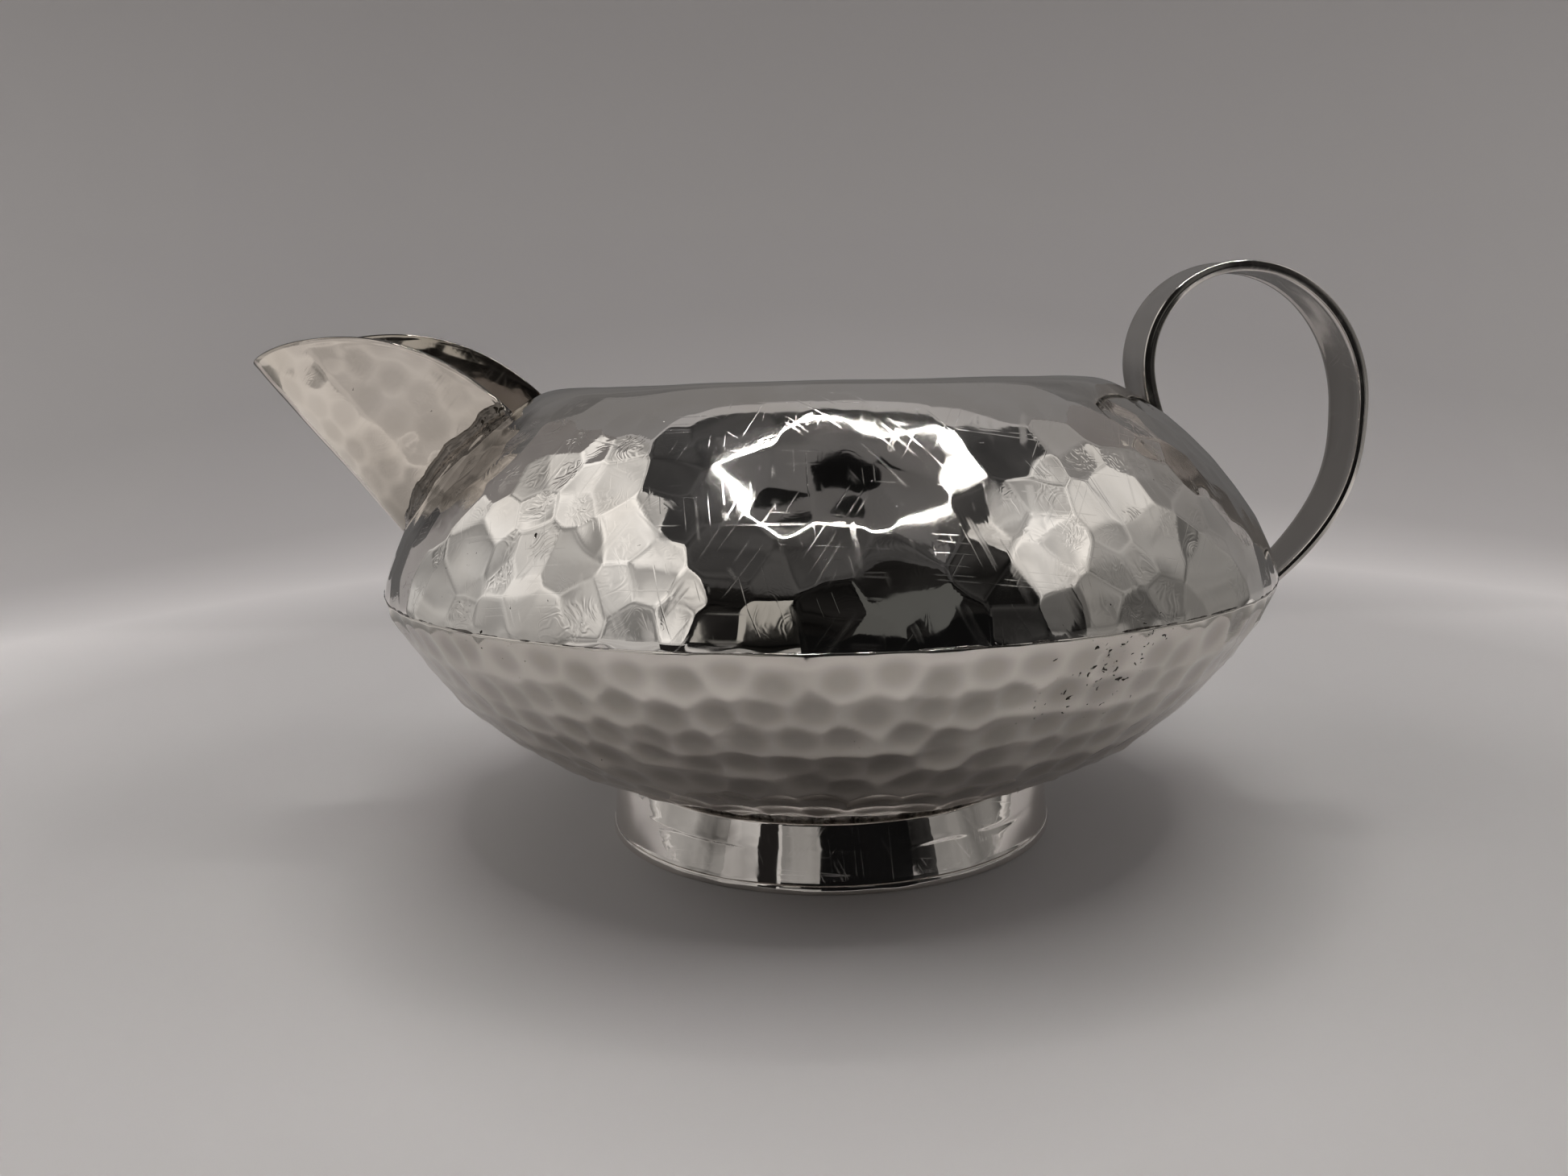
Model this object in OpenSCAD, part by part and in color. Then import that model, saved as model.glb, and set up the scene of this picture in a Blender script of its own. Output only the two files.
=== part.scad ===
// Hammered silver cream jug: squat keeled body, beak spout, strap loop handle and collet foot.
// Millimetres, +Z up. The spout points along -X and the handle along +X.

/* [Body] */
// Radius of the sharp waist crease
waist_r = 50; // [35:0.5:70]
// Height of the waist crease above the resting plane
waist_z = 30.1; // [20:0.1:45]
// Inner edge radius of the round mouth
mouth_r = 29.8; // [20:0.1:40]
// Height of the mouth rim
rim_z = 51.6; // [38:0.1:70]
// Thickness of the hammered sheet of the body
sheet = 0.9; // [0.5:0.05:2]
// Height of the underside of the bowl at its centre
base_z = 6.9; // [4:0.1:12]
// Height of the solder line between bowl and shoulder
seam_h = 0.4; // [0.2:0.05:1]
// How far the waist solder line sits back from the crease
seam_back = 0.25; // [0:0.05:0.6]

/* [Spout] */
// Distance from the body axis to the tip of the spout
tip_reach = 66.6; // [56:0.1:90]
// Height of the tip of the spout
tip_z = 55.4; // [45:0.1:75]
// Slope of the keel of the spout below the horizontal, in degrees
keel_angle = 51.2; // [35:0.1:65]
// Widest half width of the spout trough
trough_w = 9.2; // [5:0.1:14]
// Half width of the trough where its edges meet the shoulder
root_w = 8.3; // [5:0.1:13]
// Height where the spout edges meet the shoulder
root_z = 49.8; // [40:0.1:60]
// Thickness of the spout sheet
spout_sheet = 0.8; // [0.5:0.05:1.5]
// Width of the solder fillet around the spout
spout_bead = 0.9; // [0.4:0.05:1.5]

/* [Handle] */
// Distance from the body axis to the outermost point of the loop
handle_reach = 61; // [56:0.1:80]
// Height of the top of the loop
handle_top = 64.15; // [56:0.1:90]
// Half width of the strap at its upper end
strap_w_top = 4.9; // [3:0.1:9]
// Half width of the strap at its lower end
strap_w_low = 2.9; // [2:0.1:8]
// Thickness of the strap at its upper end
strap_t_top = 1.3; // [0.8:0.05:3]
// Thickness of the strap at its lower end
strap_t_low = 0.9; // [0.6:0.05:3]
// Width of the solder fillets at the ends of the strap
strap_bead = 0.8; // [0.4:0.05:1.5]

/* [Foot] */
// Outer radius of the foot where it rests
foot_r = 26.15; // [18:0.05:40]
// Outer radius of the foot just under the bowl
foot_top_r = 25.55; // [15:0.05:35]
// Height of the upper edge of the foot
foot_h = 7.6; // [4:0.05:12]
// Thickness of the foot strip
foot_sheet = 0.8; // [0.5:0.05:1.5]
// Radius of the half round wire at the bottom edge of the foot
foot_wire_r = 0.46; // [0.3:0.02:1]

/* [Hidden] */
$fn = 96;
eps = 0.01;

// The frame origin lies halfway between the spout tip and the outside of the handle.
shift_x = (tip_reach - handle_reach) / 2;

// Point at t on a cubic curve with four control points
function bez(p, t) = p[0] * pow(1 - t, 3) + 3 * p[1] * t * pow(1 - t, 2) + 3 * p[2] * t * t * (1 - t) + p[3] * pow(t, 3);
function bez_path(p, n, skip = 0) = [for (i = [skip : n]) bez(p, i / n)];
function rev(v) = [for (i = [len(v) - 1 : -1 : 0]) v[i]];
function unit(v) = v / norm(v);
function tangent(v, i) = unit(v[min(i + 1, len(v) - 1)] - v[max(i - 1, 0)]);
// Path moved sideways by d, to the left of its direction when d is positive
function beside(v, d) = [for (i = [0 : len(v) - 1]) v[i] + d * [-tangent(v, i)[1], tangent(v, i)[0]]];
function beside_taper(v, d0, d1) = [for (i = [0 : len(v) - 1]) v[i]
  + (d0 + (d1 - d0) * i / (len(v) - 1)) * [-tangent(v, i)[1], tangent(v, i)[0]]];

// Outer profiles of the two body halves, both starting at the waist crease
lip = [mouth_r + 3.6, rim_z - 1];
shoulder_a = [[waist_r, waist_z], [waist_r - 1.3, waist_z + 7.9], [waist_r - 9.9, rim_z - 4.7], lip];
shoulder_b = [lip, [mouth_r + 2.3, rim_z - 0.3], [mouth_r + 1.2, rim_z], [mouth_r, rim_z]];
shoulder_out = concat(bez_path(shoulder_a, 22), bez_path(shoulder_b, 5, 1));
bowl_a = [[waist_r, waist_z], [waist_r - 2.1, waist_z - 5.4], [waist_r - 10.9, base_z + 3.1], [21.1, base_z + 0.7]];
bowl_b = [[21.1, base_z + 0.7], [14, base_z + 0.2], [7, base_z], [0, base_z]];
bowl_out = concat(bez_path(bowl_a, 24), bez_path(bowl_b, 6, 1));
shoulder_in = beside(shoulder_out, sheet);
bowl_in = beside(bowl_out, -sheet);

// Path with its first point slid along the first segment to the height z
function start_at(v, z) = concat([[v[1][0] + (v[0][0] - v[1][0]) * (z - v[1][1]) / (v[0][1] - v[1][1]), z]],
  [for (i = [1 : len(v) - 1]) v[i]]);

// Cross section of the spout trough: x across, y away from the keel
trough_a = [[0, 0], [2.6, 0.2], [trough_w - 0.6, 7.6], [trough_w, 15]];
trough_b = [[trough_w, 15], [trough_w, 18], [root_w + 0.6, 20], [root_w, 24]];
trough_half = concat(bez_path(trough_a, 10), bez_path(trough_b, 5, 1));
keel_dir = [cos(keel_angle), -sin(keel_angle)];
keel_nrm = [sin(keel_angle), cos(keel_angle)];

// Upper edge of the spout, from the tip to the shoulder
edge = [[-tip_reach, tip_z], [-tip_reach + 10, tip_z + 4.3], [-tip_reach + 22.3, tip_z + 4.9], [-34.3, root_z]];
edge_path = bez_path(edge, 16);

// Outside line of the handle loop, from the shoulder over the top to the bowl
loop_left = [35.8, 53];
loop_top = [46.6, handle_top];
loop_right = [handle_reach, 47.5];
loop_path = concat(
  bez_path([[38, 44.5], [36.8, 47.4], [35.8, 50.6], loop_left], 4),
  bez_path([loop_left, [35.8, 59.3], [40.4, handle_top], loop_top], 9, 1),
  bez_path([loop_top, [54.6, handle_top], [handle_reach, 56.8], loop_right], 10, 1),
  bez_path([loop_right, [handle_reach, 40.4], [60.6, 33.1], [43.5, 20.9]], 12, 1));

silver = [0.80, 0.79, 0.77];
solder = [0.66, 0.65, 0.63];

// Moves a piece from the body axis to the frame origin
module placed() {
  translate([shift_x, 0, 0]) children();
}

// Lays a profile of x and z and gives it depth along Y
module side(width) {
  rotate([90, 0, 0]) linear_extrude(width, center = true) children();
}

// Solid of the whole closed body, grown outward by g
module body_solid(g) {
  top = beside(shoulder_out, -g);
  low = beside(bowl_out, g);
  mid = g > 0 ? [[waist_r + g, waist_z]] : [];
  upper = [for (i = [g > 0 ? 1 : 0 : len(top) - 1]) top[i]];
  lower = [for (i = [1 : len(low) - 2]) low[i]];
  rotate_extrude() polygon(concat([[0, rim_z + g]], rev(upper), mid, lower, [[0, base_z - g]]));
}

// Trough shaped prism along the keel, grown outward by g
module trough(g) {
  half = beside(trough_half, -g);
  pts = concat([for (i = [1 : len(half) - 1]) half[i]], [for (i = [len(half) - 1 : -1 : 1]) [-half[i][0], half[i][1]]]);
  multmatrix([[0, keel_nrm[0], keel_dir[0], -tip_reach], [1, 0, 0, 0], [0, keel_nrm[1], keel_dir[1], tip_z], [0, 0, 0, 1]])
    translate([0, 0, -2]) linear_extrude(48) polygon(concat([[0, half[0][1]]], pts));
}

// Space below the upper edge of the spout
module under_edge(drop) {
  side(60) translate([0, -drop]) polygon(concat(edge_path, [[-26, 46], [-26, 18],
    [-tip_reach - 0.3, 18], [-tip_reach - 0.3, tip_z]]));
}

// Strap loop, made thicker by g on each side
module strap(g) {
  outer = beside(loop_path, g);
  inner = beside_taper(loop_path, -strap_t_top - g, -strap_t_low - g);
  slope = (strap_w_top - strap_w_low) / 33;
  intersection() {
    side(30) polygon(concat(outer, rev(inner)));
    translate([50, 0, 23]) rotate([0, -26.2, 0]) rotate([90, 0, 90]) linear_extrude(90, center = true)
      polygon([[-strap_w_low - g + 12 * slope, -12], [strap_w_low + g - 12 * slope, -12],
        [strap_w_low + g + 55 * slope, 55], [-strap_w_low - g - 55 * slope, 55]]);
  }
}

module body_bowl() {
  out = start_at(bowl_out, waist_z - seam_h / 2);
  inn = start_at(bowl_in, waist_z - seam_h / 2);
  n = len(out) - 1;
  color(silver) placed() rotate_extrude() polygon(concat([for (i = [0 : n - 1]) out[i]], [[0, base_z], [0, base_z + sheet]],
    rev([for (i = [0 : n - 1]) inn[i]])));
}

module body_shoulder() {
  out = start_at(shoulder_out, waist_z + seam_h / 2);
  inn = start_at(shoulder_in, waist_z + seam_h / 2);
  color(silver) placed() difference() {
    rotate_extrude() polygon(concat(out, rev(inn)));
    intersection() {
      trough(-spout_sheet);
      under_edge(1.6);
      translate([-60, -20, 37.2]) cube([30, 40, 11.6]);
    }
  }
}

module waist_seam() {
  out = waist_r - seam_back;
  inn = waist_r - sheet - 0.3;
  color(solder) placed() translate([0, 0, waist_z - seam_h / 2]) difference() {
    cylinder(h = seam_h, r = out);
    translate([0, 0, -1]) cylinder(h = seam_h + 2, r = inn);
  }
}

module spout() {
  color(silver) placed() difference() {
    intersection() {
      difference() {
        trough(0);
        trough(-spout_sheet);
      }
      under_edge(0);
    }
    body_solid(0);
  }
}

module spout_solder() {
  color(solder) placed() difference() {
    intersection() {
      trough(spout_bead);
      under_edge(0.6);
      body_solid(spout_bead);
    }
    trough(0);
    body_solid(0);
  }
}

module handle_strap() {
  color(silver) placed() difference() {
    strap(0);
    body_solid(0);
  }
}

module handle_solder_upper() {
  color(solder) placed() difference() {
    intersection() {
      strap(strap_bead);
      body_solid(strap_bead);
      translate([30, -20, 40]) cube([20, 40, 14]);
    }
    strap(0);
    body_solid(0);
  }
}

module handle_solder_lower() {
  color(solder) placed() difference() {
    intersection() {
      strap(strap_bead);
      body_solid(strap_bead);
      translate([40, -20, 12]) cube([20, 40, waist_z - 3.4 - 12]);
    }
    strap(0);
    body_solid(0);
  }
}

// Profile of the foot strip: outer line from its turned-in upper edge down, inner line back up
foot_turn = bez_path([[foot_top_r - 1.1, foot_h], [foot_top_r - 0.4, foot_h],
  [foot_top_r, foot_h - 0.3], [foot_top_r, foot_h - 1.1]], 8);
foot_turn_in = bez_path([[foot_top_r - 1.1, foot_h - foot_sheet], [foot_top_r - 0.95, foot_h - foot_sheet],
  [foot_top_r - foot_sheet, foot_h - 0.95], [foot_top_r - foot_sheet, foot_h - 1.3]], 6);
foot_profile = concat(foot_turn, [[foot_r, 2 * foot_wire_r], [foot_r, 0],
  [foot_r - foot_sheet, 0], [foot_r - foot_sheet, 2 * foot_wire_r]], rev(foot_turn_in));

module foot_ring() {
  color(silver) placed() rotate_extrude() polygon(foot_profile);
}

module foot_wire() {
  steps = 12;
  color(silver) placed() rotate_extrude() polygon(concat([[foot_r, 0], [foot_r + 0.2, 0]],
    [for (i = [2 : steps - 1]) [foot_r + foot_wire_r * sin(i * 180 / steps), foot_wire_r * (1 - cos(i * 180 / steps))]],
    [[foot_r, 2 * foot_wire_r]]));
}

module foot_solder() {
  color(solder) placed() difference() {
    rotate_extrude() polygon([[foot_top_r - 2, foot_h - foot_sheet], [foot_top_r - 1.1, foot_h - foot_sheet],
      [foot_top_r - 0.8, foot_h - 0.3], [foot_top_r - 0.8, foot_h + 1.3], [foot_top_r - 2, foot_h + 1.3]]);
    body_solid(0);
    rotate_extrude() polygon(foot_profile);
  }
}

body_bowl();
body_shoulder();
waist_seam();
spout();
spout_solder();
handle_strap();
handle_solder_upper();
handle_solder_lower();
foot_ring();
foot_wire();
foot_solder();
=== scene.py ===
import bpy, math
import numpy as np
from mathutils import Matrix, Vector


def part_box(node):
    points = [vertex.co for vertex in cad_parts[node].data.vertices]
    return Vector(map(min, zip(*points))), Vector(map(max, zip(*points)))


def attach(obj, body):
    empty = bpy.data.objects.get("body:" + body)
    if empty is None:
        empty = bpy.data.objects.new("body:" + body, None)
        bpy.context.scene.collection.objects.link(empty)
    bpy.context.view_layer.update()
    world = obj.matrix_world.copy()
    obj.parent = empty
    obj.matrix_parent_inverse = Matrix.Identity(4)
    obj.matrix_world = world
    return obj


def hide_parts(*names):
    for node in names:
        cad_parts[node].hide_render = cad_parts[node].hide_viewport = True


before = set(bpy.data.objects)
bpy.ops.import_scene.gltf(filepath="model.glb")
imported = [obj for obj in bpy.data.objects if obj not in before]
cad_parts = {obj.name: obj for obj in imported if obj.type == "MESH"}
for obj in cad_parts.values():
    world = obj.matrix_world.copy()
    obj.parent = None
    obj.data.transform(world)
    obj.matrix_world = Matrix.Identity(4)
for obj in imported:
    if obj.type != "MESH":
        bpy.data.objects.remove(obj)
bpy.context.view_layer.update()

# Shapes are in millimetres from the body's axis. new_piece() turns them into metres in the frame.
MM = 0.001
TAU = 2 * math.pi
foot_lo, foot_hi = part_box("foot_ring")
sh_lo, sh_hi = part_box("body_shoulder")
AX = (foot_lo.x + foot_hi.x) / 2          # the axis of the round body, in metres
WAIST_R = 50.0
WAIST_Z = 1000 * sh_lo.z                  # the joint between the two halves
RIM_Z = 1000 * sh_hi.z
BASE_Z = 6.9                              # the flat base of the bowl, inside the foot
SHEET = 0.9                               # thickness of the body's sheet
KEEL = math.radians(51.2)                 # slope of the spout's keel
SKEW = 0.065                              # the spout and strap sit a hair higher at the back


# ---------------- camera
def make_camera():
    pitch, yaw, roll = 0.15762, -0.034932, -0.023849
    fwd = Vector((math.sin(yaw) * math.cos(pitch), math.cos(yaw) * math.cos(pitch), -math.sin(pitch)))
    level = Vector((math.cos(yaw), -math.sin(yaw), 0))
    upright = level.cross(fwd)
    right = math.cos(roll) * level + math.sin(roll) * upright
    up = -math.sin(roll) * level + math.cos(roll) * upright
    data = bpy.data.cameras.new("camera")
    data.sensor_width = 36
    data.lens = 27.72
    data.clip_start, data.clip_end = 0.005, 20
    cam = bpy.data.objects.new("camera", data)
    m = Matrix((right, up, -fwd)).transposed().to_4x4()
    m.translation = Vector((AX, -0.14262, 0.05027))
    cam.matrix_world = m
    bpy.context.scene.collection.objects.link(cam)
    bpy.context.scene.camera = cam


# ---------------- small maths
def bez(points, n):
    """A cubic Bezier curve through four control points, as n + 1 points."""
    p = np.array(points, float)
    t = np.linspace(0, 1, n + 1)[:, None]
    return ((1 - t) ** 3 * p[0] + 3 * t * (1 - t) ** 2 * p[1]
            + 3 * t * t * (1 - t) * p[2] + t ** 3 * p[3])


def chain(*parts):
    """Joins lines end to start."""
    return np.vstack([parts[0]] + [part[1:] for part in parts[1:]])


def arc_length(line):
    return np.concatenate(([0], np.cumsum(np.linalg.norm(np.diff(line, axis=0), axis=1))))


def resample(line, step):
    """The same line with points an even step apart."""
    s = arc_length(line)
    n = max(2, int(round(s[-1] / step)) + 1)
    t = np.linspace(0, s[-1], n)
    return np.stack([np.interp(t, s, line[:, k]) for k in range(line.shape[1])], 1)


def line_normals(line):
    """Unit normals of a flat line, to the right of its direction."""
    d = np.gradient(line, axis=0)
    d /= np.linalg.norm(d, axis=1)[:, None]
    return np.stack([d[:, 1], -d[:, 0]], 1)


def smooth(x, lo, hi):
    """0 below lo, 1 above hi, a soft step between."""
    t = np.clip((x - lo) / (hi - lo), 0, 1)
    return t * t * (3 - 2 * t)


class Waves:
    """Soft seeded noise in three dimensions: a sum of plane waves."""
    def __init__(self, seed, size, n=24):
        rng = np.random.default_rng(seed)
        d = rng.normal(size=(n, 3))
        d /= np.linalg.norm(d, axis=1)[:, None]
        self.k = d * (TAU / (size * rng.uniform(0.6, 1.7, n)))[:, None]
        self.p = rng.uniform(0, TAU, n)
        self.n = n

    def __call__(self, pts):
        out = np.zeros(len(pts))
        for k, p in zip(self.k, self.p):
            out += np.sin(pts @ k + p)
        return out / math.sqrt(self.n / 2)


# ---------------- meshes
def mesh_object(name, verts, faces, material):
    mesh = bpy.data.meshes.new(name)
    mesh.from_pydata([tuple(map(float, v)) for v in verts], [], [tuple(map(int, f)) for f in faces])
    mesh.update()
    mesh.materials.append(material)
    ob = bpy.data.objects.new(name, mesh)
    bpy.context.scene.collection.objects.link(ob)
    return ob


def shade_smooth(ob):
    ob.data.polygons.foreach_set("use_smooth", [True] * len(ob.data.polygons))


def new_piece(name, verts_mm, faces, nodes, material, marks=None):
    """A piece of the jug that replaces the CAD nodes. marks: values per point that its material reads."""
    ob = mesh_object(name, np.array(verts_mm, float) * MM + (AX, 0, 0), faces, material)
    shade_smooth(ob)
    for key, values in (marks or {}).items():
        a = ob.data.attributes.new(key, "FLOAT", "POINT")
        a.data.foreach_set("value", np.asarray(values, np.float32))
    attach(ob, "root")
    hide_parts(*nodes)
    return ob


def grid_faces(rows, cols, wrap, flip=False):
    i = np.arange(rows - 1)[:, None]
    j = np.arange(cols if wrap else cols - 1)[None, :]
    k = (j + 1) % cols
    f = np.stack([i * cols + j, i * cols + k, (i + 1) * cols + k, (i + 1) * cols + j], -1).reshape(-1, 4)
    return f[:, ::-1] if flip else f


def capped_faces(rings, sides):
    """A closed run of rings with a flat face at both ends."""
    faces = [tuple(f) for f in grid_faces(rings, sides, True)]
    return faces + [tuple(range(sides))[::-1], tuple((rings - 1) * sides + i for i in range(sides))]


# ---------------- shapes shared by the pieces
def shoulder_profile():
    a = bez([(WAIST_R, WAIST_Z), (48.7, 38), (40.1, 46.9), (33.4, RIM_Z - 1)], 60)
    b = bez([(33.4, RIM_Z - 1), (32.1, RIM_Z - 0.3), (31, RIM_Z), (29.8, RIM_Z)], 12)
    return chain(a, b)


def bowl_profile():
    a = bez([(WAIST_R, WAIST_Z), (47.9, 24.7), (39.1, 10), (21.1, 7.6)], 80)
    b = bez([(21.1, 7.6), (14, 6.95), (7, BASE_Z), (0, BASE_Z)], 30)
    return chain(a, b)


def body_radius(z):
    """Outer radius of the body at height z, in mm."""
    up, low = shoulder_profile(), bowl_profile()
    return np.where(z >= WAIST_Z, np.interp(z, up[:60, 1], up[:60, 0]),
                    np.interp(z, low[::-1, 1], low[::-1, 0]))


SPOUT_TIP = np.array((-66.6, 55.4))
SPOUT_EDGE = bez([(-66.6, 55.4), (-56.6, 59.7), (-44.3, 60.3), (-34.3, 49.8)], 200)
KEEL_DIR = np.array((math.cos(KEEL), -math.sin(KEEL)))
KEEL_OUT = np.array((-math.sin(KEEL), -math.cos(KEEL)))


def spout_section():
    """(half width, distance from the keel) of the U of the spout, from the keel to the edge."""
    a = bez([(0, 0), (2.6, 0.2), (7.4, 4.8), (7.95, 9)], 60)
    b = bez([(7.95, 9), (8.5, 13.3), (9.1, 17.7), (9.7, 24)], 30)
    return resample(chain(a, b), 0.05)


def swell(x, y, z):
    """How far the shoulder bulges round the spout, in mm."""
    d = np.sqrt(((x + 41.5) / 7.5) ** 2 + (y / 12.5) ** 2 + ((z - 43.5) / 7.5) ** 2)
    return np.exp(-d ** 3)


# ---------------- the round body
def polar(r, t, z):
    return np.stack([r * np.cos(t), r * np.sin(t), z * np.ones_like(t)], -1)


class RoundHammer:
    """Hammer dishes in rings round a turned body. Distances are true at every ring.

    first and row_pitch place the rings along the profile, and pitch is the step round a ring. Every dish has
    its own radius (flat, spread), slope (lean) and depth (deep), and sits a little off its place (jitter)."""
    def __init__(self, seed, profile, pitch, first, row_pitch, jitter, flat, spread, lean, deep):
        rng = np.random.default_rng(seed)
        s = arc_length(profile)
        self.row_pitch = row_pitch
        self.rows = []
        v = first
        while v < s[-1] + row_pitch:
            radius = max(float(np.interp(v, s, profile[:, 0])), 1.0)
            n = max(3, int(round(TAU * radius / pitch)))
            turn = (np.arange(n) + rng.uniform(0, 1) + rng.normal(0, jitter, n)) * TAU / n
            dishes = dict(t=turn % TAU, v=v + rng.normal(0, jitter, n) * row_pitch,
                          radius=flat * rng.uniform(1 - spread, 1 + spread, n),
                          lean_u=rng.normal(0, lean, n), lean_v=rng.normal(0, lean, n),
                          height=rng.uniform(-deep, deep, n), mark=rng.uniform(0, 1, n) ** 1.4)
            order = np.argsort(dishes["t"])
            self.rows.append((v, n, {key: values[order] for key, values in dishes.items()}))
            v += row_pitch

    def field(self, T, S, R, soft):
        """Height, curled marks and painted shade, strongest in each dish's middle. T angle, S distance along
        the profile (both 2-D), R radius.
        """
        total = np.zeros(T.shape)
        lowest = np.full(T.shape, 1e9)
        mark = np.zeros(T.shape)
        painted_shade = np.zeros(T.shape)
        for v, n, dishes in self.rows:
            lines = np.where(np.abs(S[:, 0] - v) < 2.3 * self.row_pitch)[0]
            if not len(lines):
                continue
            near = slice(lines[0], lines[-1] + 1)
            t, s, r = T[near], S[near], np.maximum(R[near], 0.5)
            place = np.searchsorted(dishes["t"], t[0])
            for step in (-3, -2, -1, 0, 1, 2):
                j = (place + step) % n
                dish = {key: values[j][None, :] for key, values in dishes.items()}
                du = ((t - dish["t"] + math.pi) % TAU - math.pi) * r
                dv = s - dish["v"]
                far = du * du + dv * dv
                q = far / (2 * dish["radius"]) + dish["height"] + dish["lean_u"] * du + dish["lean_v"] * dv
                total[near] += np.exp(np.clip(-q / soft, -300, 50))
                better = q < lowest[near]
                lowest[near] = np.where(better, q, lowest[near])
                mark[near] = np.where(better, np.exp(-(far / 2.6) ** 2) * dish["mark"], mark[near])
                # painted shade weight, highest in each dish's middle
                painted_shade[near] = np.where(better, np.exp(-(far / 3.0) ** 2), painted_shade[near])
        return -soft * np.log(np.maximum(total, 1e-280)), mark, painted_shade


def spout_hole(x, y, z):
    """Below zero inside the opening in the shoulder behind the spout."""
    sec = spout_section()
    d = (x - SPOUT_TIP[0]) * -KEEL_OUT[0] + (z - SPOUT_TIP[1]) * -KEEL_OUT[1]
    half = np.interp(d, sec[:, 1], sec[:, 0], left=-3, right=8.3)
    side = np.abs(y) - (half - 1.5)
    keel = 1.6 - d
    top = z - (RIM_Z - 3.1)
    out = np.maximum(np.maximum(side, keel), top)
    return np.where(x > -20, 5.0, out)


def surface_grid(line, cols):
    """Angle, distance along the line, r, z and the normal's r and z, for every point of the turned line."""
    T, S = np.meshgrid(np.arange(cols) * TAU / cols, arc_length(line))
    nrm = line_normals(line)
    return (T, S) + tuple(column[:, None] + 0 * T for column in np.hstack([line, nrm]).T)


def slow_waves(seed, size, x, y, z):
    return Waves(seed, size)(np.stack([x, y, z], -1).reshape(-1, 3)).reshape(x.shape)


def make_shoulder(material):
    prof = shoulder_profile()
    line = resample(prof, 0.27)
    cols = 1180
    T, S, R, Z, NR, NZ = surface_grid(line, cols)
    length = S[-1, 0]
    hammer = RoundHammer(11, prof, 3.95, 2.1, 3.45, jitter=0.13, flat=29, spread=0.28, lean=0.032, deep=0.009)
    h, mark, painted_shade = hammer.field(T, S, R, 0.0105)
    # the dishes stop short of the mouth's rolled edge and of the crease at the waist
    fade = 1 - 0.8 * smooth(S, length - 9.5, length - 5.0)
    fade = fade * (1 - smooth(S, length - 3.4, length - 1.8))
    h = h * fade * smooth(S, -0.4, 0.7)
    x, y, z = R * np.cos(T), R * np.sin(T), Z
    # the middle of the front is rubbed flatter, and so are the far left and right
    front = y < 0
    calm = np.exp(-((x - 1) / 17) ** 4) * smooth(z, 35.5, 39.5) * front
    ends = smooth(np.abs(x), 33, 41)
    h = h * (1 - 0.62 * calm) * (1 - 0.35 * ends)
    mark = mark * fade * (1 - 0.92 * np.exp(-((x - 1) / 21) ** 8) * front) * (1 - 0.6 * ends)
    painted_shade = painted_shade * fade
    h = h + swell(x, y, z) + 0.05 * slow_waves(3, 16.0, x, y, z) * smooth(S, 0, 3)
    outer = polar(R + NR * h, T, Z + NZ * h)
    inside = 0.6 * h - SHEET
    inner = polar(R + NR * inside, T, Z + NZ * inside)[::-1]
    # the lip: a half round from the outer to the inner face
    lip_r, lip_z = line[-1, 0], line[-1, 1] - SHEET / 2
    lip = np.array([polar(lip_r + SHEET / 2 * math.cos(a) + 0 * T[0], T[0], lip_z + SHEET / 2 * math.sin(a))
                    for a in np.radians(np.linspace(90, 270, 9)[1:-1])])
    verts = np.concatenate([outer, lip, inner], 0).reshape(-1, 3)
    rows = len(verts) // cols
    hole = spout_hole(x, y, z)
    hole = np.concatenate([hole, np.full((len(lip), cols), 5.0), hole[::-1]], 0)
    verts, faces = pierce(verts, grid_faces(rows, cols, True), hole, len(outer))
    blank = np.zeros((len(lip), cols))
    marks = np.concatenate([mark, blank, 0.2 * mark[::-1]], 0).ravel()
    # painted shade in the dishes, half as strong on the inside face
    shade_values = np.concatenate([painted_shade, blank, 0.5 * painted_shade[::-1]], 0).ravel()
    used = np.unique(faces)
    remap = -np.ones(len(verts), int)
    remap[used] = np.arange(len(used))
    return new_piece("shoulder", verts[used], remap[faces], ["body_shoulder"], material,
                     {"mark": marks[used], "painted_shade": shade_values[used]})


def pierce(verts, faces, hole, outer_rows):
    """Cuts the opening, where hole is below zero, through both faces of a turned sheet and walls its edge."""
    rows, cols = hole.shape
    drop = (hole.ravel()[faces] < 0).any(1)
    edge = np.zeros(len(verts), bool)
    edge[np.intersect1d(faces[~drop], faces[drop])] = True
    # bring the edge of the opening onto its true line, towards the nearest point inside it
    idx = np.where(edge)[0]
    row, col = idx // cols, idx % cols
    here = hole[row, col]
    moved = verts.copy()
    best = np.ones(len(idx))
    for down, along in ((1, 0), (-1, 0), (0, 1), (0, -1), (1, 1), (1, -1), (-1, 1), (-1, -1)):
        row2, col2 = np.clip(row + down, 0, rows - 1), (col + along) % cols
        there = hole[row2, col2]
        crosses = (there < 0) & (here > 0)
        t = np.where(crosses, here / np.where(crosses, here - there, 1), 2)
        use = crosses & (t < best)
        best = np.where(use, t, best)
        other = verts[row2 * cols + col2]
        moved[idx[use]] = verts[idx[use]] * (1 - t[use, None]) + other[use] * t[use, None]
    faces = faces[~drop]
    # wall of the opening: an outer edge that only one face holds is joined to the same edge inside
    held = {}
    for f in faces[edge[faces].any(1)]:
        for a, b in zip(f, np.roll(f, -1)):
            if edge[a] and edge[b]:
                held.setdefault((min(a, b), max(a, b)), []).append((a, b))
    wall = []
    for (a, b), *more in held.values():
        if not more and max(a, b) // cols < outer_rows:
            across = [(rows - 1 - k // cols) * cols + k % cols for k in (a, b)]
            wall.append((b, a, *across))
    return moved, np.vstack([faces, np.array(wall)])


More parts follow.
